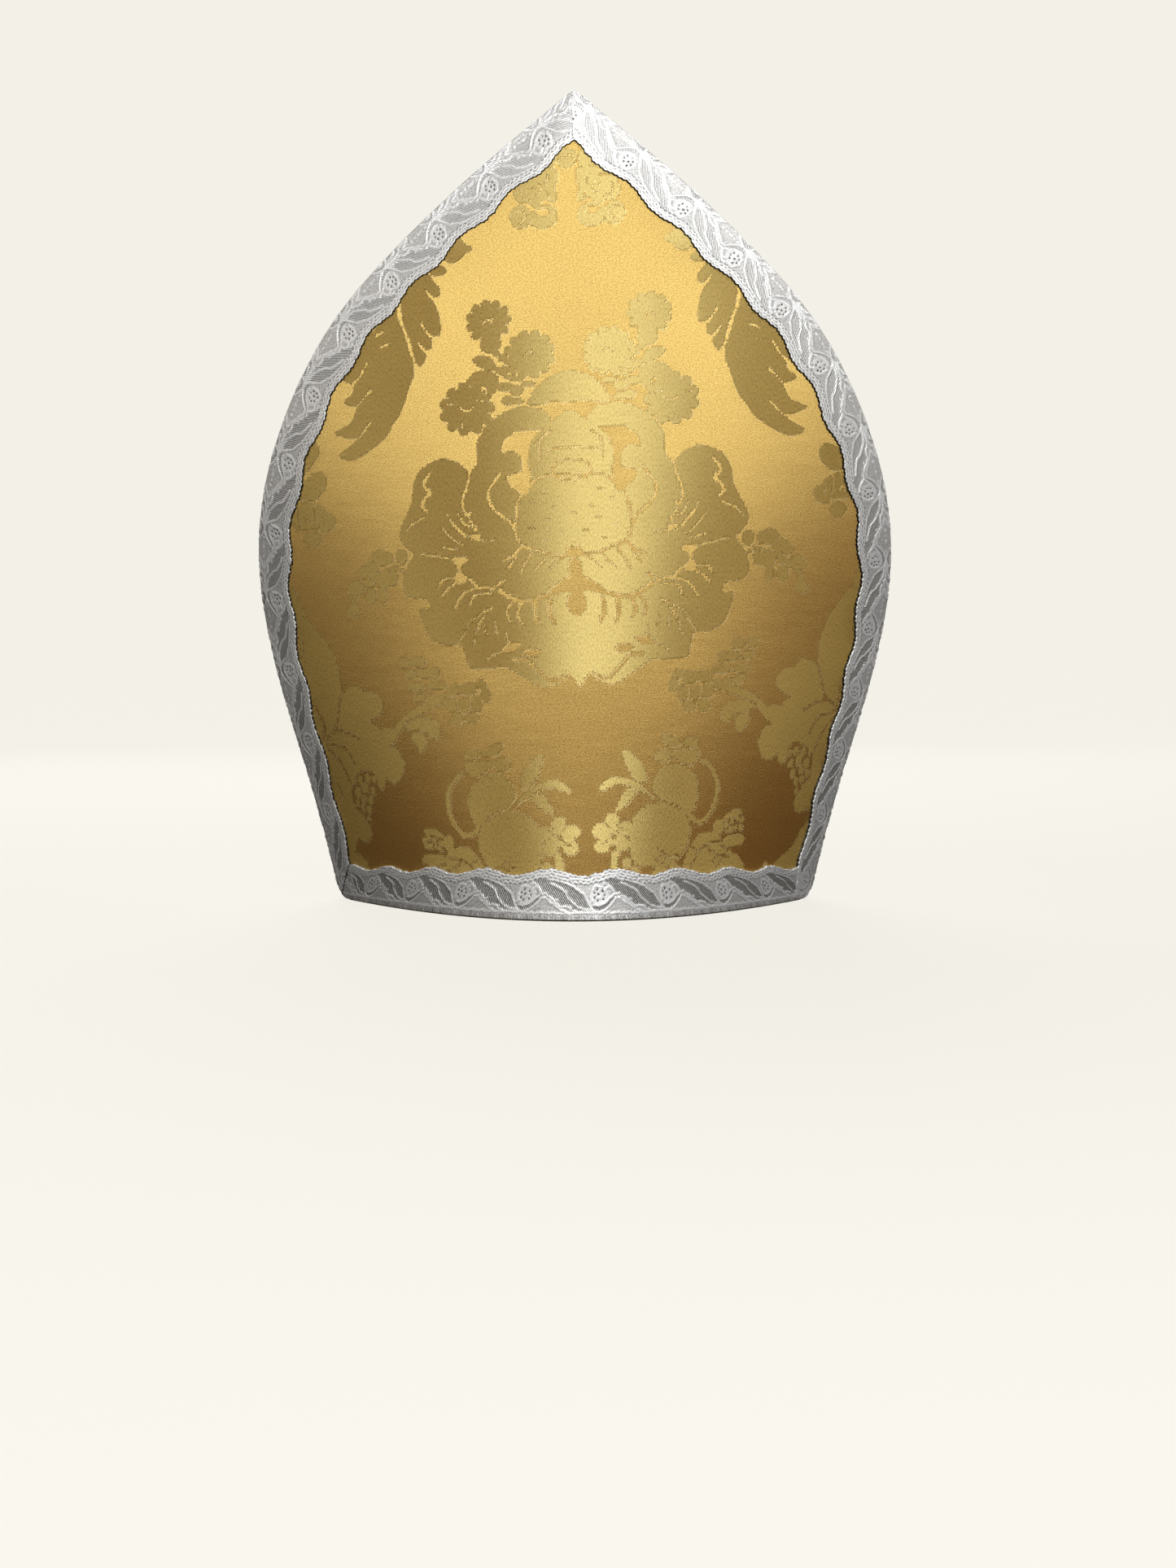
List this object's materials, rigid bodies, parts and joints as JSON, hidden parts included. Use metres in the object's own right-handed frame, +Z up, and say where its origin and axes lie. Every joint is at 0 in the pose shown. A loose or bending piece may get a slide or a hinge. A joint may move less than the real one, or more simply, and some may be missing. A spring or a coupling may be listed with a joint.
{
  "type": "bishop mitre",
  "caption": "Tall pointed ceremonial hat: two stiff damask horns edged with scalloped silver galloon, joined by a soft folded gusset and open below for a head.",
  "frame": {"origin": "centre of the oval rim, on the plane that the rim rests on", "axes": "+Z up towards the tips, the front horn faces -Y, +X is the viewer's right when looking at the front horn"},
  "size_m": [0.2856, 0.1966, 0.353],
  "materials": {
    "damask": "gold satin damask with a woven floral figure",
    "galloon": "woven silver metal-thread lace with raised leaves",
    "gusset_cloth": "plain soft gold cloth"
  },
  "bodies": {
    "root": {"front_panel": "damask", "back_panel": "damask", "front_edge_galloon": "galloon", "back_edge_galloon": "galloon", "front_hem_galloon": "galloon", "back_hem_galloon": "galloon", "crown_gusset": "gusset_cloth"}
  },
  "joints": []
}
